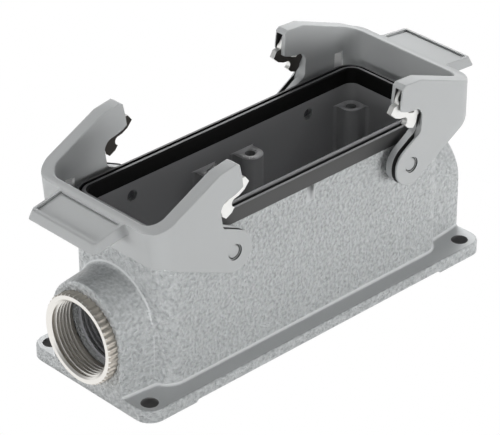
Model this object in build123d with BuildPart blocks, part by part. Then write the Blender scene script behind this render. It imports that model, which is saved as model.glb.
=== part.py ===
from build123d import *
from math import cos, pi, radians, sin
import os

os.makedirs("parts", exist_ok=True)

# Surface mounting base housing of a heavy duty rectangular connector with two
# bail levers. Millimetres, origin at the centre of the base hole pattern on the
# underside, +X away from the cable entry, +Z up.

# Pattern of the contact insert, which the whole housing is laid out from
insert_pitch_x = 104.0
middle_pitch_x = 16.0
insert_pitch_y = 27.0
insert_margin = 3.8

# Body of the housing
end_wall = 3.1
side_wall = 3.5
body_corner = 7.0
rim_z = 49.8
foot_round = 0.8

# Base plate
end_flange = 11.9
side_flange = 6.1
blank_end_extra = 1.5
plate_corner = 5.5
plate_top = 4.1
edge_round = 0.6
pad_height = 0.8
pad_length = 18.8
hole_inset_x = 4.8
hole_inset_y = 4.9
base_hole_radius = 2.7
floor_thickness = 2.3

# Posts that hold the contact insert, with tapping holes
insert_drop = 6.2
post_nose = 4.1
corner_nose = 3.4
post_flare = 1.2
tap_radius = 1.65
tap_depth = 12.0

# Threaded ring of the cable entry
thread_bore = 11.7
sleeve_wall = 1.8
collar_step = 0.84
collar_reach = 3.4
ring_length = 9.0
mouth_chamfer = 0.5
knurl_teeth = 47
knurl_depth = 0.4
knurl_share = 0.36

# Bosses at the two ends, the cable entry being in the one at -X
boss_z = 19.0
boss_margin = 0.8
boss_rise = 2.1
boss_swell = 1.7
boss_root_round = 2.0
entry_play = 0.2

# Rubber seal on the rim and the groove that holds it
seal_height = 5.2
seal_overhang = 0.1
inner_ridge = 1.7
inner_ridge_height = 1.5
inner_ridge_round = 0.55
outer_lip = 1.1
outer_lip_drop = 0.3
outer_lip_round = 0.3
rib_width = 0.9
rib_depth = 1.5
rib_inset = 0.6
notch_width = 3.4
notch_depth = 1.5
notch_drop = 5.3

# Pivots of the levers
pivot_inset = 22.2
pivot_drop = 4.8
pivot_pad_radius = 4.6
pin_radius = 1.9
pin_head_step = 0.4
pin_recess = 1.3
pin_chamfer = 0.5
pin_clearance = 0.05
side_clearance = 0.1
head_recess_play = 0.3
head_recess_depth = 0.5

# Levers: u runs outwards and w upwards from the pivot, before the left one is tilted
left_tilt = 5.5
arm_gap = 1.9
arm_thickness = 4.5
slot_width = 2.0
outer_web = 1.1
hub_margin = 1.6
head_radius = 6.7
bar_outer_u = 28.4
bar_draft = 0.6
bar_thickness = 2.8
bar_bottom = 6.9
bar_height = 12.0
bar_corner = 7.4
bar_inner_corner = 5.0
bar_shoulder = 1.2
lever_edge_round = 0.4

# Outline of an arm: lower edge slope, tip, hook and mouth, as points in u and w
arm_slope = 0.571
arm_top = [(3.0, 28.0), (-3.6, 28.4), (-4.75, 27.5), (-5.3, 23.0), (-5.4, 20.2)]
hook_mid = (-2.2, 19.0)
hook_end = (1.4, 18.6)
mouth_top = (3.0, 17.7)
mouth_back = (4.05, 15.6)
mouth_low = (3.75, 10.7)
mouth_corner = (3.1, 9.65)
lip_end = (1.8, 8.85)

# Slot inside an arm, open at the front and closed above and behind
slot_back = 8.2
slot_top = 26.9
slot_shoulder = 2.8
slot_floor = (3.0, 9.0)
slot_lean = 1.0

# Finger tab on the crossbar, flared downwards, with a sunk panel
tab_reach = 11.4
tab_lean = 1.3
tab_flare = 0.9
tab_drop = 1.2
tab_thickness = 3.2
tab_half_width = 13.9
tab_corner = 1.5
tab_root_round = 2.2
panel_rim = 1.15
panel_setback = 0.6
panel_depth = 0.7

# Latch springs in the slots, in side view: nose, seat for the locking peg, leaf
spring_play = 0.05
leaf_thickness = 0.6
spring_nose = [(-7.2, 21.9), (-8.5, 19.8), (-6.5, 17.9), (-4.3, 17.0)]
seat_start = (-2.8, 16.8)
seat_mid = (-1.3, 15.3)
seat_end = (-2.2, 14.0)
spring_root = [(-1.0, 12.7), (1.3, 11.8), (2.6, 13.1), (3.1, 15.6)]
spring_tail = (18.2, 20.6)
leaf_root = -5.4
leaf_foot = 22.1
leaf_mid = (-4.6, 24.6)
leaf_tip = -2.2
slit_centre = (0.3, 17.9)
slit_length = 2.8
slit_height = 1.0
slit_turn = -20.0

# Small length for comparing positions, and a length that clears the part
tol = 0.01
clear = 1.0

# Sizes that follow from the ones above
insert_x = insert_pitch_x / 2
insert_y = insert_pitch_y / 2
middle_x = middle_pitch_x / 2
cavity_x = insert_x + insert_margin
cavity_y = insert_y + insert_margin
half_body_x = cavity_x + end_wall
half_body_y = cavity_y + side_wall
cavity_corner = body_corner - side_wall
floor_z = pad_height + floor_thickness
post_top = rim_z - insert_drop
half_plate_x = half_body_x + end_flange
half_plate_y = half_body_y + side_flange
base_hole_x = half_plate_x - hole_inset_x
base_hole_y = half_plate_y - hole_inset_y
pad_inner_x = half_plate_x - pad_length
sleeve_radius = thread_bore + sleeve_wall
collar_radius = sleeve_radius + collar_step
entry_bore = thread_bore + entry_play
boss_face = half_plate_x
blank_face = boss_face + blank_end_extra
plate_mid_x = blank_end_extra / 2
boss_depth = boss_face - cavity_x
boss_radius = collar_radius + boss_margin
boss_arch_z = boss_z + boss_rise
ring_front = boss_face + collar_reach
ring_back = ring_front - ring_length
notch_floor = half_body_y - notch_depth
rib_outer_x = half_body_x - side_wall + rib_inset + rib_width
rib_outer_y = cavity_y + rib_inset + rib_width
seal_top = rim_z + seal_height
seal_bed = seal_top - inner_ridge_height
pivot_x = half_body_x - pivot_inset
pivot_z = rim_z - pivot_drop
pin_head_radius = pin_radius + pin_head_step
slot_hub = pin_head_radius + hub_margin
arm_inner_y = half_body_y + arm_gap
pivot_pad_face = arm_inner_y - side_clearance
arm_outer_y = arm_inner_y + arm_thickness
arm_mid_y = arm_inner_y + arm_thickness / 2
slot_mid_y = arm_outer_y - outer_web - slot_width / 2
spring_width = slot_width - 2 * spring_play
pin_inner_y = cavity_y + pin_recess
wall_mid_y = cavity_y + side_wall / 2

# Points where the straight edges of an arm touch the round head
edge_run = 1 / (1 + arm_slope**2) ** 0.5
lower_touch = (head_radius * arm_slope * edge_run, -head_radius * edge_run)
upper_touch = (-lower_touch[0], -lower_touch[1])
bar_foot_u = lower_touch[0] + (bar_bottom - lower_touch[1]) / arm_slope
bar_top = bar_bottom + bar_height
bar_inner_u = bar_outer_u - bar_thickness
mouth_box = (arm_top[-1][0] - clear, mouth_back[0] + clear, upper_touch[1] - clear, arm_top[-1][1])
tab_u = bar_outer_u + tab_reach
tab_root_depth = bar_thickness - bar_draft
tab_end_top = bar_top - tab_drop

def flat_at(edge, height):
    """Tell whether an edge lies level at a height."""
    box = edge.bounding_box()
    return abs(box.min.Z - height) < tol and abs(box.max.Z - height) < tol


def lies_at_y(edge, distance):
    """Tell whether an edge lies in one of the two planes at a distance from y = 0."""
    box = edge.bounding_box()
    return abs(abs(box.min.Y) - distance) < tol and abs(box.max.Y - box.min.Y) < tol


def seen(view, edge):
    """Give the middle of an edge in the coordinates of a view."""
    return view.to_local_coords(edge.center())


# Housing
with BuildPart() as housing:
    with BuildSketch(Plane.XY):
        with Locations((plate_mid_x, 0)):
            RectangleRounded(boss_face + blank_face, 2 * half_plate_y, plate_corner)
    extrude(amount=plate_top)
    with BuildSketch(Plane.XY):
        RectangleRounded(2 * half_body_x, 2 * half_body_y, body_corner)
    extrude(amount=rim_z)
    # Bosses at both ends, arched on top and wider towards the body
    for side, face in ((-1, boss_face), (1, blank_face)):
        for distance, swell in ((cavity_x, boss_swell), (face, 0.0)):
            with BuildSketch(Plane.YZ.offset(side * distance)):
                with BuildLine():
                    arch_start = (boss_radius + swell, boss_arch_z)
                    arch_end = (-boss_radius - swell, boss_arch_z)
                    ThreePointArc(arch_start, (0, boss_arch_z + boss_radius + swell), arch_end)
                    Polyline(arch_end, (arch_end[0], 0), (arch_start[0], 0), arch_start)
                make_face()
        loft(ruled=True)
    # Rounded outer edges, then the rounded roots of the bosses and of the body
    plate_rim = edges().filter_by(lambda e: flat_at(e, plate_top)).filter_by(
        lambda e: abs(e.center().Y) > half_body_y + tol or abs(e.center().X) > boss_face - tol
    )
    boss_rim = edges().filter_by(
        lambda e: abs(e.center().X) > boss_face - tol and e.center().Z > plate_top + tol
    )
    fillet(plate_rim + boss_rim, radius=edge_round)
    boss_root = (
        edges()
        .filter_by(lambda e: half_body_x - boss_root_round < abs(e.center().X) < half_body_x + tol)
        .filter_by(lambda e: plate_top + edge_round < e.center().Z < boss_z + boss_radius + tol)
        .filter_by(lambda e: abs(abs(e.center().Y) - half_body_y + body_corner) > tol)
    )
    fillet(boss_root, radius=boss_root_round)
    body_foot = edges().filter_by(lambda e: flat_at(e, plate_top)).filter_by(
        lambda e: abs(e.center().Y) < half_body_y + tol and abs(e.center().X) < boss_face - plate_corner / 2
    )
    fillet(body_foot, radius=foot_round)
    # Pads round the pivots
    for end in (-1, 1):
        with BuildSketch(Plane.XZ.offset(end * wall_mid_y)):
            with Locations((-pivot_x, pivot_z), (pivot_x, pivot_z)):
                Circle(pivot_pad_radius)
        extrude(amount=end * (pivot_pad_face - wall_mid_y))
    # Cavity
    with BuildSketch(Plane.XY.offset(floor_z)):
        RectangleRounded(2 * cavity_x, 2 * cavity_y, cavity_corner)
    extrude(amount=rim_z - floor_z, mode=Mode.SUBTRACT)
    # Posts for the insert: one in each corner and two on each long wall
    with BuildSketch(Plane.XY.offset(floor_z)) as posts:
        for side in (-1, 1):
            for end in (-1, 1):
                corner_mid_x = side * (insert_x + half_body_x) / 2
                corner_mid_y = end * (insert_y + half_body_y) / 2
                with Locations((side * insert_x, end * insert_y)):
                    Circle(corner_nose)
                with Locations((corner_mid_x, end * (insert_y + half_body_y - corner_nose) / 2)):
                    Rectangle(half_body_x - insert_x, half_body_y - insert_y + corner_nose)
                with Locations((side * (insert_x + half_body_x - corner_nose) / 2, corner_mid_y)):
                    Rectangle(half_body_x - insert_x + corner_nose, half_body_y - insert_y)
                with Locations((side * middle_x, end * insert_y)):
                    Circle(post_nose)
                with Locations((side * middle_x, corner_mid_y)):
                    Rectangle(2 * post_nose, half_body_y - insert_y)
        RectangleRounded(2 * half_body_x, 2 * half_body_y, body_corner, mode=Mode.INTERSECT)
    extrude(amount=post_top - floor_z)
    fillet(
        edges()
        .filter_by(Axis.Z)
        .filter_by_position(Axis.Z, floor_z + clear, post_top - clear)
        .filter_by(lambda e: abs(abs(e.center().Y) - cavity_y) < tol or abs(abs(e.center().X) - cavity_x) < tol),
        radius=post_flare,
    )
    insert_holes = [(u * insert_x, v * insert_y) for u in (-1, 1) for v in (-1, 1)]
    insert_holes += [(u * middle_x, v * insert_y) for u in (-1, 1) for v in (-1, 1)]
    with BuildSketch(Plane.XY.offset(post_top)):
        with Locations(*insert_holes):
            Circle(tap_radius)
    extrude(amount=-tap_depth, mode=Mode.SUBTRACT)
    # Cable entry: a bore through the wall and a wider seat for the ring
    with BuildSketch(Plane.YZ.offset(-boss_face)):
        with Locations((0, boss_z)):
            Circle(entry_bore)
    extrude(amount=boss_depth, mode=Mode.SUBTRACT)
    with BuildSketch(Plane.YZ.offset(-boss_face)):
        with Locations((0, boss_z)):
            Circle(sleeve_radius)
    extrude(amount=boss_face - ring_back, mode=Mode.SUBTRACT)
    # Holes for the pivot pins
    for end in (-1, 1):
        with BuildSketch(Plane.XZ.offset(end * pivot_pad_face)):
            with Locations((-pivot_x, pivot_z), (pivot_x, pivot_z)):
                Circle(pin_radius)
        extrude(amount=-end * (pivot_pad_face - cavity_y), mode=Mode.SUBTRACT)
    # Groove in the rim for the seal and a notch at the middle of each long side
    with BuildSketch(Plane.XY.offset(rim_z)):
        RectangleRounded(2 * rib_outer_x, 2 * rib_outer_y, cavity_corner + rib_inset + rib_width)
        RectangleRounded(
            2 * (rib_outer_x - rib_width),
            2 * (rib_outer_y - rib_width),
            cavity_corner + rib_inset,
            mode=Mode.SUBTRACT,
        )
    extrude(amount=-rib_depth, mode=Mode.SUBTRACT)
    with BuildSketch(Plane.XY.offset(rim_z)):
        with Locations((0, -notch_floor - notch_depth), (0, notch_floor + notch_depth)):
            Rectangle(notch_width, 2 * notch_depth)
    extrude(amount=-notch_drop, mode=Mode.SUBTRACT)
    # Underside sunk between the pads, and the screw holes
    with BuildSketch(Plane.XZ.offset(-half_plate_y - clear)):
        with BuildLine():
            Polyline(
                (-pad_inner_x, 0),
                (pad_inner_x, 0),
                (pad_inner_x - pad_height, pad_height),
                (pad_height - pad_inner_x, pad_height),
                close=True,
            )
        make_face()
    extrude(amount=2 * (half_plate_y + clear), mode=Mode.SUBTRACT)
    with BuildSketch(Plane.XY):
        with GridLocations(2 * base_hole_x, 2 * base_hole_y, 2, 2):
            Circle(base_hole_radius)
    extrude(amount=plate_top, mode=Mode.SUBTRACT)
housing.part.label = "housing"
export_step(housing.part, "parts/housing.step")

# Rubber seal on the rim
with BuildPart() as rim_seal:
    seal_outer_x = half_body_x + seal_overhang
    seal_outer_y = half_body_y + seal_overhang
    seal_corner = body_corner + seal_overhang
    seal_inner_x = cavity_x - seal_overhang
    seal_inner_y = cavity_y - seal_overhang
    seal_inner_corner = cavity_corner - seal_overhang
    with BuildSketch(Plane.XY.offset(rim_z)):
        RectangleRounded(2 * seal_outer_x, 2 * seal_outer_y, seal_corner)
        RectangleRounded(2 * seal_inner_x, 2 * seal_inner_y, seal_inner_corner, mode=Mode.SUBTRACT)
    extrude(amount=seal_bed - rim_z)
    # Inner ridge and outer lip, with a groove left between them
    with BuildSketch(Plane.XY.offset(seal_bed)):
        RectangleRounded(
            2 * (seal_inner_x + inner_ridge), 2 * (seal_inner_y + inner_ridge), seal_inner_corner + inner_ridge
        )
        RectangleRounded(2 * seal_inner_x, 2 * seal_inner_y, seal_inner_corner, mode=Mode.SUBTRACT)
    extrude(amount=seal_top - seal_bed)
    fillet(faces().sort_by(Axis.Z)[-1].edges(), radius=inner_ridge_round)
    with BuildSketch(Plane.XY.offset(seal_bed)):
        RectangleRounded(2 * seal_outer_x, 2 * seal_outer_y, seal_corner)
        RectangleRounded(
            2 * (seal_outer_x - outer_lip),
            2 * (seal_outer_y - outer_lip),
            seal_corner - outer_lip,
            mode=Mode.SUBTRACT,
        )
    extrude(amount=seal_top - outer_lip_drop - seal_bed)
    fillet(
        edges().filter_by_position(Axis.Z, seal_top - outer_lip_drop - tol, seal_top - outer_lip_drop + tol),
        radius=outer_lip_round,
    )
    # Rib in the groove of the rim
    with BuildSketch(Plane.XY.offset(rim_z)):
        RectangleRounded(2 * rib_outer_x, 2 * rib_outer_y, cavity_corner + rib_inset + rib_width)
        RectangleRounded(
            2 * (rib_outer_x - rib_width),
            2 * (rib_outer_y - rib_width),
            cavity_corner + rib_inset,
            mode=Mode.SUBTRACT,
        )
    extrude(amount=-rib_depth)
rim_seal.part.label = "rim_seal"
export_step(rim_seal.part, "parts/rim_seal.step")

# Threaded ring of the cable entry
with BuildPart() as cable_entry_ring:
    with BuildSketch(Plane.YZ.offset(-ring_front)):
        with Locations((0, boss_z)):
            Circle(collar_radius)
            with PolarLocations(collar_radius, knurl_teeth):
                Rectangle(
                    2 * knurl_depth, knurl_share * 2 * pi * collar_radius / knurl_teeth, mode=Mode.SUBTRACT
                )
    extrude(amount=collar_reach)
    with BuildSketch(Plane.YZ.offset(-boss_face)):
        with Locations((0, boss_z)):
            Circle(sleeve_radius)
    extrude(amount=boss_face - ring_back)
    with BuildSketch(Plane.YZ.offset(-ring_front)):
        with Locations((0, boss_z)):
            Circle(thread_bore)
    extrude(amount=ring_length, mode=Mode.SUBTRACT)
    chamfer(
        edges().filter_by(GeomType.CIRCLE).filter_by(lambda e: abs(e.radius - thread_bore) < tol),
        length=mouth_chamfer,
    )
cable_entry_ring.part.label = "cable_entry_ring"
export_step(cable_entry_ring.part, "parts/cable_entry_ring.step")

# Levers, springs and pins, the left lever being tilted outwards
for side_name, side, tilt in (("left", -1, left_tilt), ("right", 1, 0.0)):
    # Plane of the lever's side view, with its x outwards and its y upwards
    outwards = (side * cos(radians(tilt)), 0, -sin(radians(tilt)))
    side_view = Plane(origin=(side * pivot_x, 0, pivot_z), x_dir=outwards, z_dir=(0, -side, 0))
    top_view = Plane(origin=side_view.origin, x_dir=outwards, z_dir=side_view.y_dir)

    with BuildPart() as tab_form:
        # Plan of the tab at the height of the crossbar's top and at the tab's lowest edge
        for level, flare in ((bar_top, -tab_drop / tab_thickness), (tab_end_top - tab_thickness, 1.0)):
            with BuildSketch(top_view.offset(level)) as tab_plan:
                tab_end = tab_u + tab_lean * flare
                tab_side = tab_half_width + tab_flare * flare
                with Locations(((bar_inner_u + tab_end) / 2, 0)):
                    Rectangle(tab_end - bar_inner_u, 2 * tab_side)
                with Locations((bar_inner_u + tab_root_depth / 2, 0)):
                    Rectangle(tab_root_depth, 2 * tab_side + 4 * tab_root_round)
                fillet(tab_plan.vertices().group_by(Axis.X)[-1], radius=tab_corner)
                root_u = bar_inner_u + tab_root_depth
                tab_roots = tab_plan.vertices().filter_by(
                    lambda v: abs(v.X - root_u) < tol and abs(v.Y) < tab_side + tol
                )
                fillet(tab_roots, radius=tab_root_round)
        loft(ruled=True)
        with BuildSketch(side_view):
            with BuildLine():
                Polyline(
                    (bar_inner_u, bar_top),
                    (bar_outer_u, bar_top),
                    (tab_u, tab_end_top),
                    (tab_u + tab_lean, tab_end_top - tab_thickness),
                    (bar_inner_u, bar_top - tab_thickness),
                    close=True,
                )
            make_face()
        extrude(amount=tab_half_width + 3 * tab_root_round, both=True, mode=Mode.INTERSECT)

    with BuildPart() as lever:
        with BuildSketch(top_view.offset(-head_radius)):
            RectangleRounded(2 * bar_outer_u, 2 * arm_outer_y, bar_corner)
            RectangleRounded(2 * bar_inner_u, 2 * arm_inner_y, bar_inner_corner, mode=Mode.SUBTRACT)
        extrude(amount=head_radius + arm_top[1][1])
        with BuildSketch(side_view):
            with BuildLine():
                Polyline(
                    lower_touch,
                    (bar_foot_u, bar_bottom),
                    (bar_outer_u - bar_draft, bar_bottom),
                    (bar_outer_u, bar_top),
                    (bar_inner_u + bar_shoulder, bar_top),
                    *arm_top,
                )
                ThreePointArc(arm_top[-1], hook_mid, hook_end)
                ThreePointArc(hook_end, mouth_top, mouth_back)
                Line(mouth_back, mouth_low)
                ThreePointArc(mouth_low, mouth_corner, lip_end)
                Line(lip_end, upper_touch)
                ThreePointArc(upper_touch, (-head_radius, 0), lower_touch)
            make_face()
        extrude(amount=arm_outer_y, both=True, mode=Mode.INTERSECT)
        add(tab_form.part)
        # Rounded outline of the arms and their bends, the hook and mouth left crisp
        outline = edges().filter_by(
            lambda e: lies_at_y(e, arm_outer_y) or lies_at_y(e, arm_inner_y)
        )
        outline = outline.filter_by(
            lambda e: not (mouth_box[0] < seen(side_view, e).X < mouth_box[1]
                           and mouth_box[2] < seen(side_view, e).Y < mouth_box[3])
        )
        outline = outline.filter_by(
            lambda e: abs(seen(side_view, e).X - bar_outer_u + bar_corner) > tol
            and abs(seen(side_view, e).X - bar_inner_u + bar_inner_corner) > tol
        )
        bends = edges().filter_by(
            lambda e: bar_inner_u - bar_thickness < seen(side_view, e).X < bar_inner_u - tol
            and abs(seen(side_view, e).Z) < arm_outer_y - tol
        )
        fillet(outline + bends, radius=lever_edge_round)
        # Sunk panel on top of the tab
        with BuildSketch(side_view):
            with BuildLine():
                Polyline(
                    (bar_outer_u + panel_setback, bar_top - panel_depth),
                    (tab_u - panel_rim, tab_end_top - panel_depth + panel_rim * tab_drop / tab_reach),
                    (tab_u - panel_rim, bar_top + panel_depth),
                    (bar_outer_u + panel_setback, bar_top + panel_depth),
                    close=True,
                )
            make_face()
        extrude(amount=tab_half_width - panel_rim, both=True, mode=Mode.SUBTRACT)
        for hand in (-1, 1):
            # Slot for the latch spring, left open round the hub of the pivot
            with BuildSketch(side_view.offset(hand * slot_mid_y - slot_width / 2)):
                with BuildLine():
                    Polyline(
                        (-2 * head_radius, slot_top),
                        (slot_shoulder, slot_top),
                        (slot_back, slot_top - slot_shoulder),
                        (slot_back, mouth_top[1] - lever_edge_round),
                        slot_floor,
                        (slot_floor[0] - slot_lean, -2 * head_radius),
                        (-2 * head_radius, -2 * head_radius),
                        close=True,
                    )
                make_face()
                Circle(slot_hub, mode=Mode.SUBTRACT)
            extrude(amount=slot_width, mode=Mode.SUBTRACT)
            # Pivot hole, wider for the head of the pin in the outer web
            with BuildSketch(side_view.offset(hand * arm_mid_y - arm_thickness / 2)):
                Circle(pin_radius + pin_clearance)
            extrude(amount=arm_thickness, mode=Mode.SUBTRACT)
            with BuildSketch(side_view.offset(hand * arm_outer_y)):
                Circle(pin_head_radius + pin_clearance)
            extrude(amount=-hand * outer_web, mode=Mode.SUBTRACT)
            with BuildSketch(side_view.offset(hand * arm_outer_y)):
                Circle(pin_head_radius + head_recess_play)
            extrude(amount=-hand * head_recess_depth, mode=Mode.SUBTRACT)
    lever.part.label = side_name + "_lever"
    export_step(lever.part, "parts/" + lever.part.label + ".step")

    for hand in (-1, 1):
        end = -side * hand
        end_name = "near" if end < 0 else "far"
        with BuildPart() as latch_spring:
            with BuildSketch(side_view.offset(hand * slot_mid_y - spring_width / 2)):
                with BuildLine():
                    Polyline(*spring_nose, seat_start)
                    ThreePointArc(seat_start, seat_mid, seat_end)
                    Polyline(
                        seat_end,
                        *spring_root,
                        (slot_back, spring_tail[0]),
                        (slot_back, spring_tail[1]),
                        (spring_root[-1][0], spring_tail[1]),
                        (leaf_root + leaf_thickness, leaf_foot),
                    )
                    ThreePointArc(
                        (leaf_root + leaf_thickness, leaf_foot),
                        (leaf_mid[0] + leaf_thickness, leaf_mid[1]),
                        (leaf_tip + leaf_thickness, slot_top),
                    )
                    Line((leaf_tip + leaf_thickness, slot_top), (leaf_tip, slot_top))
                    ThreePointArc((leaf_tip, slot_top), leaf_mid, (leaf_root, leaf_foot))
                    Line((leaf_root, leaf_foot), spring_nose[0])
                make_face()
                # Slit between the nose and the seat
                with Locations(Location((*slit_centre, 0), (0, 0, slit_turn))):
                    SlotOverall(slit_length, slit_height, mode=Mode.SUBTRACT)
            extrude(amount=spring_width)
        latch_spring.part.label = side_name + "_" + end_name + "_latch_spring"
        export_step(latch_spring.part, "parts/" + latch_spring.part.label + ".step")

        with BuildPart() as pivot_pin:
            with BuildSketch(Plane(origin=(side * pivot_x, end * pin_inner_y, pivot_z), z_dir=(0, end, 0))):
                Circle(pin_radius)
            extrude(amount=arm_outer_y - pin_inner_y)
            with BuildSketch(Plane(origin=(side * pivot_x, end * arm_outer_y, pivot_z), z_dir=(0, end, 0))):
                Circle(pin_head_radius)
            extrude(amount=-outer_web)
            chamfer(edges().group_by(Axis.Y)[0 if end > 0 else -1], length=pin_chamfer)
        pivot_pin.part.label = side_name + "_" + end_name + "_pivot_pin"
        export_step(pivot_pin.part, "parts/" + pivot_pin.part.label + ".step")
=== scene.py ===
import math

import bmesh
import bpy
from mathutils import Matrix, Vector
from mathutils.kdtree import KDTree


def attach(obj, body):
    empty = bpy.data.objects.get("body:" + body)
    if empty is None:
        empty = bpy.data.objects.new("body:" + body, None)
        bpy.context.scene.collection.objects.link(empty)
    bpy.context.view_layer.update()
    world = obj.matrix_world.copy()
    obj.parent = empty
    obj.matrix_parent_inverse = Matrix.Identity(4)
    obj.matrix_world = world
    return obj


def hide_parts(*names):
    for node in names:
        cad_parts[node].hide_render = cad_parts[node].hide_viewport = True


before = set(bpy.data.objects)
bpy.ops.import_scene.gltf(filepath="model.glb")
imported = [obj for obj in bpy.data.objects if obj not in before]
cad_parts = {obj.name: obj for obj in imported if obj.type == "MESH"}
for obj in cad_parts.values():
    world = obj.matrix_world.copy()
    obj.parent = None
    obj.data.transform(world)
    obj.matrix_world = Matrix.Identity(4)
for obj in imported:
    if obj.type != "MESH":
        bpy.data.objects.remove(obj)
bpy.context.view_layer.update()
MM = 0.001

# HOUSING
# One die casting with a base plate, a box body, a boss at each end and posts for
# the insert. Powder coated light grey with a hammered texture outside, and left
# darker and smoother inside.
SHARP_ANGLE = math.radians(35)
FLAT_ANGLE = math.radians(0.5)
SAME_POINT = 0.001 * MM
# How near a face's middle has to lie to a plane, and its normal to an axis, to count
NEAR = 0.1 * MM
ALONG_AXIS = 0.99


def deselect_all():
    for obj in bpy.context.selected_objects:
        obj.select_set(False)


def make_active(obj):
    deselect_all()
    obj.select_set(True)
    bpy.context.view_layer.objects.active = obj


def round_edges(obj, width, segments, chosen=None, clamped=True):
    """Bevel the sharp edges of a mesh, or only those whose middle is chosen."""
    shape = bmesh.new()
    shape.from_mesh(obj.data)
    layers = shape.edges.layers.float
    weight = layers.get("bevel_weight_edge") or layers.new("bevel_weight_edge")
    for edge in shape.edges:
        sharp = edge.calc_face_angle(0.0) > SHARP_ANGLE
        middle = (edge.verts[0].co + edge.verts[1].co) / 2
        edge[weight] = 1.0 if sharp and (chosen is None or chosen(middle)) else 0.0
    shape.to_mesh(obj.data)
    shape.free()
    bevel = obj.modifiers.new("edge", "BEVEL")
    bevel.width = width
    bevel.segments = segments
    bevel.limit_method = "WEIGHT"
    bevel.use_clamp_overlap = clamped
    bpy.ops.object.modifier_apply(modifier="edge")


def dressed_copy(node, name, body, edge_width, soft_width=0.0, is_soft=None):
    """Copy a solid of the part, join its points, and round its sharp edges a little.

    Sharp edges whose middle is_soft picks are rounded by soft_width instead.
    """
    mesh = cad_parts[node].data.copy()
    mesh.materials.clear()
    obj = bpy.data.objects.new(name, mesh)
    bpy.context.collection.objects.link(obj)
    make_active(obj)
    bpy.ops.object.mode_set(mode="EDIT")
    bpy.ops.mesh.select_all(action="SELECT")
    bpy.ops.mesh.remove_doubles(threshold=SAME_POINT)
    bpy.ops.object.mode_set(mode="OBJECT")
    if edge_width:
        bpy.ops.object.mode_set(mode="EDIT")
        bpy.ops.mesh.dissolve_limited(angle_limit=FLAT_ANGLE)
        bpy.ops.object.mode_set(mode="OBJECT")
    if is_soft:
        round_edges(obj, soft_width, 3, is_soft, clamped=False)
        round_edges(obj, edge_width, 2, lambda middle: not is_soft(middle))
    elif edge_width:
        round_edges(obj, edge_width, 2)
    bpy.ops.object.shade_smooth_by_angle(angle=SHARP_ANGLE)
    even = obj.modifiers.new("even", "WEIGHTED_NORMAL")
    even.keep_sharp = True
    bpy.ops.object.modifier_apply(modifier="even")
    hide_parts(node)
    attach(obj, body)
    return obj


def shader_of(material):
    return material.node_tree.nodes["Principled BSDF"]


def new_material(name, color, roughness, metallic=0.0):
    """Make a plain material of one colour."""
    material = bpy.data.materials.new(name)
    material.use_nodes = True
    shader = shader_of(material)
    shader.inputs["Base Color"].default_value = (*color, 1)
    shader.inputs["Roughness"].default_value = roughness
    shader.inputs["Metallic"].default_value = metallic
    return material


def give_materials(obj, *materials):
    """Put materials on a piece, in the order that its faces count them."""
    for material in materials:
        obj.data.materials.append(material)


# The hammered look: small dimples with a slight change of tone, weaker on level faces
HAMMER_SIZE = 1.1 * MM
HAMMER_DEPTH = 1.5 * MM
LEVEL_DEPTH = HAMMER_DEPTH / 6
DIMPLE_TONE = (0.36, 0.375, 0.38, 1)
CREST_TONE = (0.52, 0.535, 0.54, 1)
housing_paint = new_material("housing_powder_coat", (0.44, 0.455, 0.46), 0.36)
nodes, links = housing_paint.node_tree.nodes, housing_paint.node_tree.links
place = nodes.new("ShaderNodeTexCoord")
upright = nodes.new("ShaderNodeSeparateXYZ")
slope = nodes.new("ShaderNodeMath")
slope.operation = "ABSOLUTE"
depth = nodes.new("ShaderNodeMapRange")
depth.inputs["From Min"].default_value = 0.1
depth.inputs["From Max"].default_value = 0.8
depth.inputs["To Min"].default_value = HAMMER_DEPTH
depth.inputs["To Max"].default_value = LEVEL_DEPTH
pebbles = nodes.new("ShaderNodeTexNoise")
pebbles.inputs["Scale"].default_value = 1 / HAMMER_SIZE
pebbles.inputs["Detail"].default_value = 1.5
pebbles.inputs["Roughness"].default_value = 0.45
bump = nodes.new("ShaderNodeBump")
tone = nodes.new("ShaderNodeValToRGB")
tone.color_ramp.elements[0].position = 0.3
tone.color_ramp.elements[0].color = DIMPLE_TONE
tone.color_ramp.elements[1].position = 0.7
tone.color_ramp.elements[1].color = CREST_TONE
links.new(place.outputs["Normal"], upright.inputs["Vector"])
links.new(upright.outputs["Z"], slope.inputs[0])
links.new(slope.outputs[0], depth.inputs["Value"])
links.new(place.outputs["Object"], pebbles.inputs["Vector"])
links.new(pebbles.outputs["Fac"], bump.inputs["Height"])
links.new(depth.outputs["Result"], bump.inputs["Distance"])
links.new(pebbles.outputs["Fac"], tone.inputs["Fac"])
links.new(bump.outputs["Normal"], shader_of(housing_paint).inputs["Normal"])
links.new(tone.outputs["Color"], shader_of(housing_paint).inputs["Base Color"])

# The smooth inside, the tops of the posts made lighter as painted light, the smooth
# rounded foot of the body and the bosses made lighter as a painted highlight, and the screw
# holes of the plate made dark as painted shade
casting_inside = new_material("housing_inside", (0.35, 0.352, 0.358), 0.45)
post_top_painted_light = new_material("housing_post_tops_painted_light", (0.85, 0.85, 0.86), 0.4)
foot_smooth_painted_highlight = new_material("housing_foot_smooth_painted_highlight", (0.60, 0.615, 0.62), 0.3)
hole_painted_shade = new_material("housing_screw_holes_painted_shade", (0.14, 0.14, 0.14), 0.5)

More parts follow.
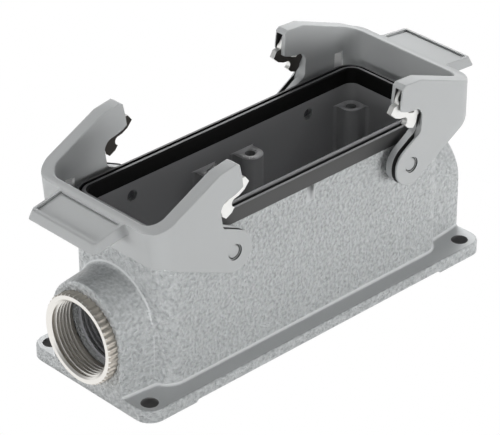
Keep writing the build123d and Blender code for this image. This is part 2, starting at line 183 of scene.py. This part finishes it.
housing = dressed_copy("housing", "housing_shell", "base", 0.0)
give_materials(housing, housing_paint, casting_inside, post_top_painted_light, foot_smooth_painted_highlight, hole_painted_shade)
INSIDE_FACE, POST_PAINTED_LIGHT_FACE, FOOT_HIGHLIGHT_FACE, HOLE_SHADE_FACE = 1, 2, 3, 4
INSIDE_X = 55.85 * MM
INSIDE_Y = 17.35 * MM
INSIDE_Z = 3.0 * MM
POST_TOP = 43.6 * MM
PLATE_TOP = 4.1 * MM
FOOT = 0.75 * MM
END_WALL = 58.9 * MM
ROOT = 0.6 * MM
HOLE_X = 66.0 * MM
HOLE_Y = 22.0 * MM
HOLE_R = 2.8 * MM
NOTCH_X = 1.75 * MM
NOTCH_Z = 44.4 * MM
ENTRY_Z = 19.0 * MM
ENTRY_R = 11.8 * MM
for face in housing.data.polygons:
    x, y, z = face.center
    is_post_top = face.normal.z > ALONG_AXIS and abs(z - POST_TOP) < NEAR
    is_root = 0.3 < abs(face.normal.x) < 0.9
    if abs(x) < INSIDE_X and abs(y) < INSIDE_Y and z > INSIDE_Z:
        # The tops of the posts get a near white colour as painted light, the rest of the
        # inside its darker grey
        face.material_index = POST_PAINTED_LIGHT_FACE if is_post_top else INSIDE_FACE
    # The fillets at the foot and at the roots of the bosses get a smooth paint whose lighter
    # tone is a painted highlight
    elif PLATE_TOP < z < PLATE_TOP + FOOT and face.normal.z > 0.05:
        face.material_index = FOOT_HIGHLIGHT_FACE
    elif END_WALL + NEAR < abs(x) < END_WALL + ROOT and is_root:
        face.material_index = FOOT_HIGHLIGHT_FACE
    # The notch in the rim gets the same lighter paint as painted light
    elif abs(x) < NOTCH_X and abs(y) > INSIDE_Y and z > NOTCH_Z:
        face.material_index = FOOT_HIGHLIGHT_FACE
    elif x < -INSIDE_X and math.hypot(y, z - ENTRY_Z) < ENTRY_R:
        face.material_index = INSIDE_FACE
    # The walls of the screw holes are painted dark: painted shade
    elif z < PLATE_TOP and math.hypot(abs(x) - HOLE_X, abs(y) - HOLE_Y) < HOLE_R:
        face.material_index = HOLE_SHADE_FACE

# RIM SEAL
# A black rubber profile pressed into a groove of the rim, with a raised inner
# ridge that the hood closes on.
SEAL_EDGE = 0.3 * MM
SEAL_CREST_Z = 54.4 * MM
# How far a face has to look towards the middle of the opening to count as inner
SEAL_INWARDS = 2 * MM
seal_rubber = new_material("seal_rubber", (0.028, 0.028, 0.028), 0.6)
shader_of(seal_rubber).inputs["Specular IOR Level"].default_value = 1.0
seal_crest_painted_highlight = new_material("seal_rubber_crest_painted_highlight", (0.17, 0.17, 0.175), 0.5)
seal_inner_painted_shade = new_material("seal_rubber_inner_painted_shade", (0.004, 0.004, 0.004), 0.6)
shader_of(seal_inner_painted_shade).inputs["Specular IOR Level"].default_value = 0.15
rim_seal = dressed_copy("rim_seal", "rim_seal_rubber", "base", SEAL_EDGE)
give_materials(rim_seal, seal_rubber, seal_inner_painted_shade, seal_crest_painted_highlight)
for face in rim_seal.data.polygons:
    outwards = face.normal.x * face.center.x + face.normal.y * face.center.y
    # Faces looking into the opening get a blacker, less shiny copy of the rubber: painted
    # shade
    if outwards < -SEAL_INWARDS:
        face.material_index = 1
    # The upward faces of the crest get a lighter grey rubber: painted highlight
    elif face.center.z > SEAL_CREST_Z and face.normal.z > 0.5:
        face.material_index = 2

# CABLE ENTRY RING
# A turned brass ring, nickel plated, with a knurled collar and a fine thread of
# nominal 25 mm inside, pressed into the boss at -X. The casting's own thread
# shows behind it.
AXIS_Z = 19.0 * MM
RING_FRONT = -74.2 * MM
BOSS_FRONT = -70.8 * MM
RING_BACK = -65.2 * MM
COLLAR_R = 14.34 * MM
FACE_R = 13.9 * MM
SLEEVE_R = 13.5 * MM
MOUTH_R = 12.6 * MM
THREAD_MAJOR_R = 12.5 * MM
THREAD_MINOR_R = 11.7 * MM
THREAD_PITCH = 1.25 * MM
THREAD_FRONT = RING_FRONT + 1.4 * MM
THREAD_BACK = RING_BACK - 0.2 * MM
KNURL_TEETH = 47
KNURL_DEPTH = 0.42 * MM
CHAMFER = 0.5 * MM
MOUTH_DEPTH = 0.6 * MM
MOUTH_SLOPE = 0.3 * MM
MOUTH_STEP = 0.2 * MM
TURNED_ANGLE = math.radians(30)
BORE_FRONT = RING_BACK + 1.2 * MM
BORE_BACK = RING_BACK + 7.5 * MM
BORE_MAJOR_R = 12.0 * MM
BORE_MINOR_R = 11.2 * MM
BORE_PITCH = 1.5 * MM


def turned_about_x(name, profile, steps):
    """Turn a closed profile, given as points along X and out from the axis, about X."""
    mesh = bpy.data.meshes.new(name)
    count = len(profile)
    edges = [(i, (i + 1) % count) for i in range(count)]
    mesh.from_pydata([(x, 0, r) for x, r in profile], edges, [])
    obj = bpy.data.objects.new(name, mesh)
    bpy.context.collection.objects.link(obj)
    make_active(obj)
    bpy.ops.object.mode_set(mode="EDIT")
    bpy.ops.mesh.select_all(action="SELECT")
    bpy.ops.mesh.spin(steps=steps, angle=2 * math.pi, center=(0, 0, 0), axis=(1, 0, 0))
    bpy.ops.mesh.select_all(action="SELECT")
    bpy.ops.mesh.remove_doubles(threshold=2 * SAME_POINT)
    bpy.ops.mesh.normals_make_consistent(inside=False)
    bpy.ops.object.mode_set(mode="OBJECT")
    return obj


def thread_ridge(name, start, end, base_r, crest_r, pitch):
    """Wind the ridge of an inside thread about X, between two places on the axis."""
    half_base, half_crest = 0.42 * pitch, 0.08 * pitch
    section = [
        (start - half_base, 0, base_r),
        (start - half_crest, 0, crest_r),
        (start + half_crest, 0, crest_r),
        (start + half_base, 0, base_r),
    ]
    mesh = bpy.data.meshes.new(name)
    mesh.from_pydata(section, [(0, 1), (1, 2), (2, 3), (3, 0)], [])
    obj = bpy.data.objects.new(name, mesh)
    bpy.context.collection.objects.link(obj)
    make_active(obj)
    screw = obj.modifiers.new("screw", "SCREW")
    screw.axis = "X"
    screw.steps = screw.render_steps = 72
    screw.screw_offset = pitch
    screw.iterations = int((end - start) / pitch)
    screw.use_merge_vertices = True
    bpy.ops.object.modifier_apply(modifier="screw")
    bpy.ops.object.mode_set(mode="EDIT")
    bpy.ops.mesh.select_mode(type="EDGE")
    bpy.ops.mesh.select_all(action="DESELECT")
    bpy.ops.mesh.select_non_manifold()
    bpy.ops.mesh.edge_face_add()
    bpy.ops.mesh.select_all(action="SELECT")
    bpy.ops.mesh.normals_make_consistent(inside=False)
    bpy.ops.object.mode_set(mode="OBJECT")
    return obj


def lift_to_axis():
    """Lift what is selected to the height of the cable entry and smooth its turned faces."""
    bpy.ops.transform.translate(value=(0, 0, AXIS_Z))
    bpy.ops.object.transform_apply(location=True, rotation=False, scale=False)
    bpy.ops.object.shade_smooth_by_angle(angle=TURNED_ANGLE)


ring = turned_about_x(
    "cable_entry_ring_turned",
    [
        (RING_FRONT, MOUTH_R),
        (RING_FRONT, FACE_R),
        (RING_FRONT + CHAMFER, COLLAR_R),
        (BOSS_FRONT, COLLAR_R),
        (BOSS_FRONT, SLEEVE_R),
        (RING_BACK, SLEEVE_R),
        (RING_BACK, THREAD_MAJOR_R),
        (RING_FRONT + MOUTH_DEPTH + MOUTH_SLOPE, THREAD_MAJOR_R),
        (RING_FRONT + MOUTH_DEPTH, THREAD_MINOR_R + MOUTH_STEP),
    ],
    KNURL_TEETH * 4,
)
# Every other pair of points round the collar goes in, which leaves the teeth
for vertex in ring.data.vertices:
    x, y, z = vertex.co
    radius = math.hypot(y, z)
    quarter = round(math.atan2(y, z) / (2 * math.pi) * KNURL_TEETH * 4) % 4
    if radius > FACE_R + NEAR and quarter < 2:
        vertex.co.y *= (radius - KNURL_DEPTH) / radius
        vertex.co.z *= (radius - KNURL_DEPTH) / radius
ridge_base_r = THREAD_MAJOR_R + NEAR / 2
ridge = thread_ridge(
    "ring_thread", THREAD_FRONT, THREAD_BACK, ridge_base_r, THREAD_MINOR_R, THREAD_PITCH
)
make_active(ring)
ridge.select_set(True)
bpy.ops.object.join()
lift_to_axis()
ring_face = new_material("ring_face_nickel", (0.86, 0.84, 0.80), 0.35, metallic=1.0)
ring_nickel = new_material("ring_nickel_plate", (0.62, 0.58, 0.52), 0.42, metallic=1.0)
give_materials(ring, ring_nickel, ring_face)
for face in ring.data.polygons:
    x, y, z = face.center
    at_front = x < RING_FRONT + MOUTH_DEPTH + NEAR
    in_thread = math.hypot(y, z - AXIS_Z) < THREAD_MAJOR_R
    if abs(face.normal.x) > 0.5 and (at_front or in_thread):
        face.material_index = 1
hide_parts("cable_entry_ring")
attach(ring, "base")
# The bore of the casting goes on behind the ring with a thread of its own
entry_thread = thread_ridge(
    "entry_thread", BORE_FRONT, BORE_BACK, BORE_MAJOR_R, BORE_MINOR_R, BORE_PITCH
)
lift_to_axis()
# The thread deep in the bore gets a dark grey: painted shade
bore_painted_shade = new_material("housing_entry_bore_painted_shade", (0.24, 0.24, 0.255), 0.4)
give_materials(entry_thread, bore_painted_shade)
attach(entry_thread, "base")

# LEVERS
# Two die cast bails with hooked arms, a crossbar and a finger tab, smooth
# powder coated. Each arm has a slot for its latch spring.
SLOT_INNER_Y = 24.1 * MM
SLOT_OUTER_Y = 26.1 * MM
SLOT_NARROW_Z = 58.0 * MM
PIVOT_X = 36.7 * MM
PIVOT_Z = 45.0 * MM
ARM_FACE_Y = 27.2 * MM
ARM_INNER_Y = 22.7 * MM
LEFT_TILT = math.radians(5.5)
LEVER_EDGE = 0.12 * MM
# Round the pin's end there is a shallow recess in the outer face of the arm, its walls
# painted near black as painted shade
PIN_RECESS_R = 4 * MM
PIN_RECESS_DEPTH = 0.7 * MM
OUTER_WEB_SHIFT = 0.5 * MM
INNER_WEB_SHIFT = 1.1 * MM
# The gusset's middle, outwards and upwards from the pivot
GUSSET_U = 18.7 * MM
GUSSET_W = 9.3 * MM
GUSSET_HEIGHT = 7.6 * MM
GUSSET_R = 2.0 * MM
GUSSET_TOP_R = 0.9 * GUSSET_R
GUSSET_REACH = 1.1 * MM
GUSSET_SPREAD = 3.4
# The tab's edges are rounder than the rest from here outwards, but for its sunk panel
TAB_U = 31.0 * MM
PANEL_U = 38.8 * MM
PANEL_Y = 12.9 * MM
TAB_EDGE = 0.45 * MM


def faces_at(lever, y):
    """List the faces of a lever that lie across the arms, at a distance from its middle."""
    across = [face for face in lever.data.polygons if abs(face.normal.y) > ALONG_AXIS]
    return [face for face in across if abs(abs(face.center.y) - y) < NEAR / 2]


def shift_faces(lever, chosen, shift, top_z=1.0):
    """Move faces and the rounded rims beside them across the arms, up to a height."""
    points = {index for face in chosen for index in face.vertices}
    tree = KDTree(len(points))
    for index in points:
        tree.insert(lever.data.vertices[index].co, index)
    tree.balance()
    for vertex in lever.data.vertices:
        if vertex.co.z < top_z and tree.find(vertex.co.copy())[2] < 2 * NEAR:
            vertex.co.y += math.copysign(shift, vertex.co.y)


def tab_edges(outwards, tilt):
    """Give the function that tells whether a point lies on the outer edges of a tab."""

    def on_tab_edge(point):
        ahead, above = outwards * point.x - PIVOT_X, point.z - PIVOT_Z
        out = ahead * math.cos(tilt) - above * math.sin(tilt)
        on_panel = out < PANEL_U and abs(point.y) < PANEL_Y
        return out > TAB_U and not on_panel

    return on_tab_edge


slot_painted_shade = new_material("lever_slot_painted_shade", (0.05, 0.05, 0.05), 0.6)
lever_paint = new_material("lever_powder_coat", (0.40, 0.41, 0.413), 0.45)
for side in ("left", "right"):
    outwards = -1 if side == "left" else 1
    tilt = LEFT_TILT if side == "left" else 0.0
    lever = dressed_copy(
        side + "_lever",
        side + "_lever_bail",
        side + "_lever_body",
        LEVER_EDGE,
        soft_width=TAB_EDGE,
        is_soft=tab_edges(outwards, tilt),
    )
    give_materials(lever, lever_paint, slot_painted_shade)
    # The walls of the slots and of the recess round each pin are painted near black: painted
    # shade
    for face in lever.data.polygons:
        x, y, z = face.center
        in_slot = SLOT_INNER_Y - NEAR / 2 < abs(y) < SLOT_OUTER_Y + NEAR / 2
        if abs(face.normal.y) > ALONG_AXIS and in_slot:
            face.material_index = 1
        at_pin = math.hypot(abs(x) - PIVOT_X, z - PIVOT_Z) < PIN_RECESS_R
        if at_pin and abs(y) > ARM_FACE_Y - PIN_RECESS_DEPTH and abs(face.normal.y) < 0.7:
            face.material_index = 1
    # The outer web is thin, and below the mouth the inner one is thicker
    shift_faces(lever, faces_at(lever, SLOT_OUTER_Y), OUTER_WEB_SHIFT)
    shift_faces(lever, faces_at(lever, SLOT_INNER_Y), INNER_WEB_SHIFT, SLOT_NARROW_Z)
    # A small three-sided gusset inside each corner of the bail
    x = outwards * (PIVOT_X + GUSSET_U * math.cos(tilt) + GUSSET_W * math.sin(tilt))
    z = PIVOT_Z - GUSSET_U * math.sin(tilt) + GUSSET_W * math.cos(tilt)
    for hand in (-1, 1):
        deselect_all()
        bpy.ops.mesh.primitive_cone_add(
            vertices=3, radius1=GUSSET_R, radius2=GUSSET_TOP_R, depth=GUSSET_HEIGHT
        )
        gusset = bpy.context.object
        gusset.scale = (GUSSET_SPREAD, 1, 1)
        gusset.rotation_euler = (0, outwards * tilt, math.pi if hand > 0 else 0)
        gusset.location = (x, hand * (ARM_INNER_Y - GUSSET_REACH + GUSSET_R), z)
        bpy.ops.object.transform_apply(location=True, rotation=True, scale=True)
        make_active(lever)
        gusset.select_set(True)
        bpy.ops.object.join()

# LATCH SPRINGS
# Stamped stainless pieces in the slots of the arms, which snap over the
# locking pegs of the hood.
LEAF_Z = 68.0 * MM
LEAF_OUTER_Y = 25.3 * MM
SPRING_EDGE = 0.15 * MM
spring_steel = new_material("spring_stainless", (0.88, 0.88, 0.86), 0.38, metallic=0.9)
spring_shade = new_material("spring_inner_faces_painted_shade", (0.12, 0.11, 0.10), 0.45, metallic=0.9)
for side in ("left", "right"):
    for end in ("near", "far"):
        stem = side + "_" + end + "_latch_spring"
        body = side + "_lever_body"
        spring = dressed_copy(stem, stem + "_leaf", body, SPRING_EDGE)
        give_materials(spring, spring_steel, spring_shade)
        # Faces that look towards the middle get a dark copy of the steel: painted shade
        for face in spring.data.polygons:
            if face.normal.y * face.center.y < 0 and abs(face.normal.y) > 0.5:
                face.material_index = 1
        # The leaf above the mouth is narrower than the nose
        for vertex in spring.data.vertices:
            if vertex.co.z > LEAF_Z and abs(vertex.co.y) > LEAF_OUTER_Y:
                vertex.co.y = math.copysign(LEAF_OUTER_Y, vertex.co.y)

# PIVOT PINS
# Steel pins pressed through the arms into the wall. Their outer ends are painted
# and set a little below the faces of the arms; their inner ends are darkened as painted
# shade.
PIN_SINK = 0.6 * MM
PIN_EDGE = 0.12 * MM
pin_steel = new_material("pin_coated_steel", (0.40, 0.41, 0.413), 0.4)
pin_end_painted_shade = new_material("pin_inner_end_painted_shade", (0.09, 0.09, 0.095), 0.4)
for side in ("left", "right"):
    for end in ("near", "far"):
        stem = side + "_" + end + "_pivot_pin"
        pin = dressed_copy(stem, stem + "_turned", "base", PIN_EDGE)
        give_materials(pin, pin_steel, pin_end_painted_shade)
        # The inner ends get a dark grey: painted shade
        for face in pin.data.polygons:
            if face.normal.y * face.center.y < 0 and abs(face.normal.y) > 0.7:
                face.material_index = 1
        for vertex in pin.data.vertices:
            if abs(vertex.co.y) > ARM_FACE_Y - PIN_SINK / 2:
                vertex.co.y -= math.copysign(PIN_SINK, vertex.co.y)

# FLOOR, LIGHT AND CAMERA
# A pale studio table that shows white to the camera, with soft lamps low at the
# front and left, a larger one behind that lights the upper faces, and two small
# ones on the right.
FLOOR_SIZE = 6
bpy.ops.mesh.primitive_plane_add(size=FLOOR_SIZE, location=(0, 0, 0))
floor = bpy.context.object
floor.name = "studio_floor"
floor_pale = new_material("floor_pale", (0.8, 0.8, 0.8), 0.9)
nodes, links = floor_pale.node_tree.nodes, floor_pale.node_tree.links
rays = nodes.new("ShaderNodeLightPath")
white = nodes.new("ShaderNodeEmission")
seen = nodes.new("ShaderNodeMath")
seen.operation = "MAXIMUM"
glossy = nodes.new("ShaderNodeMath")
glossy.operation = "MAXIMUM"
mix = nodes.new("ShaderNodeMixShader")
links.new(rays.outputs["Is Glossy Ray"], glossy.inputs[0])
links.new(rays.outputs["Is Transmission Ray"], glossy.inputs[1])
links.new(rays.outputs["Is Camera Ray"], seen.inputs[0])
links.new(glossy.outputs[0], seen.inputs[1])
links.new(seen.outputs[0], mix.inputs["Fac"])
links.new(shader_of(floor_pale).outputs["BSDF"], mix.inputs[1])
links.new(white.outputs["Emission"], mix.inputs[2])
links.new(mix.outputs["Shader"], nodes["Material Output"].inputs["Surface"])
give_materials(floor, floor_pale)

world = bpy.data.worlds.new("studio_world")
bpy.context.scene.world = world
world.use_nodes = True
nodes, links = world.node_tree.nodes, world.node_tree.links
# The world's brightness low down and up high, on the object and in its reflections
HORIZON_LEVEL = 1.6
SKY_LEVEL = 0.08
MIRROR_HORIZON_LEVEL = 1.2
MIRROR_SKY_LEVEL = 0.25
FADE_START = 0.08
FADE_END = 0.32
background = nodes["Background"]
background.inputs["Color"].default_value = (1, 1, 1, 1)
rays = nodes.new("ShaderNodeLightPath")
place = nodes.new("ShaderNodeTexCoord")
split = nodes.new("ShaderNodeSeparateXYZ")
links.new(place.outputs["Generated"], split.inputs["Vector"])


def height_levels(high, low):
    """Give the world's brightness, bright near the horizon and weak above."""
    fade = nodes.new("ShaderNodeMapRange")
    fade.interpolation_type = "SMOOTHSTEP"
    fade.inputs["From Min"].default_value = FADE_START
    fade.inputs["From Max"].default_value = FADE_END
    fade.inputs["To Min"].default_value = high
    fade.inputs["To Max"].default_value = low
    links.new(split.outputs["Z"], fade.inputs["Value"])
    return fade.outputs["Result"]


mirrored = nodes.new("ShaderNodeMix")
links.new(rays.outputs["Is Glossy Ray"], mirrored.inputs["Factor"])
links.new(height_levels(HORIZON_LEVEL, SKY_LEVEL), mirrored.inputs["A"])
links.new(height_levels(MIRROR_HORIZON_LEVEL, MIRROR_SKY_LEVEL), mirrored.inputs["B"])
level = nodes.new("ShaderNodeMix")
level.inputs["B"].default_value = 1.0
links.new(rays.outputs["Is Camera Ray"], level.inputs["Factor"])
links.new(mirrored.outputs["Result"], level.inputs["A"])
links.new(level.outputs["Result"], background.inputs["Strength"])

# The point that the camera and the lamps face
TARGET = Vector((3.0875, 8.3996, 24.985)) * MM


def studio_lamp(name, place, size, power, mirrored):
    """Hang a square soft lamp that faces the object, seen in shiny faces or not."""
    bpy.ops.object.light_add(type="AREA", location=place)
    lamp = bpy.context.object
    lamp.name = name
    lamp.data.shape = "SQUARE"
    lamp.data.size = size
    lamp.data.energy = power
    lamp.visible_glossy = mirrored
    lamp.rotation_euler = (TARGET - Vector(place)).to_track_quat("-Z", "Y").to_euler()


studio_lamp("front_lamp", (0.2, -0.95, 0.02), 0.35, 9.3, False)
studio_lamp("left_lamp", (-0.96, 0.03, 0.02), 0.35, 7.6, False)
studio_lamp("back_lamp", (0.55, 0.75, 0.62), 0.5, 6.0, False)
studio_lamp("right_lamp", (0.2, 0.2, 0.38), 0.2, 1.6, False)
studio_lamp("right_edge_lamp", (0.62, -0.5, 0.6), 0.15, 0.5, True)

CAMERA_AZIMUTH = math.radians(-43.66)
CAMERA_ELEVATION = math.radians(30.69)
CAMERA_DISTANCE = 844.68 * MM
CAMERA_LENS = 198.11
SENSOR_WIDTH = 36
away = Vector(
    (
        math.sin(CAMERA_AZIMUTH) * math.cos(CAMERA_ELEVATION),
        -math.cos(CAMERA_AZIMUTH) * math.cos(CAMERA_ELEVATION),
        math.sin(CAMERA_ELEVATION),
    )
)
bpy.ops.object.camera_add(location=TARGET + away * CAMERA_DISTANCE)
camera = bpy.context.object
camera.rotation_euler = (-away).to_track_quat("-Z", "Y").to_euler()
camera.data.sensor_width = SENSOR_WIDTH
camera.data.lens = CAMERA_LENS
bpy.context.scene.camera = camera
bpy.context.scene.view_settings.view_transform = "Standard"
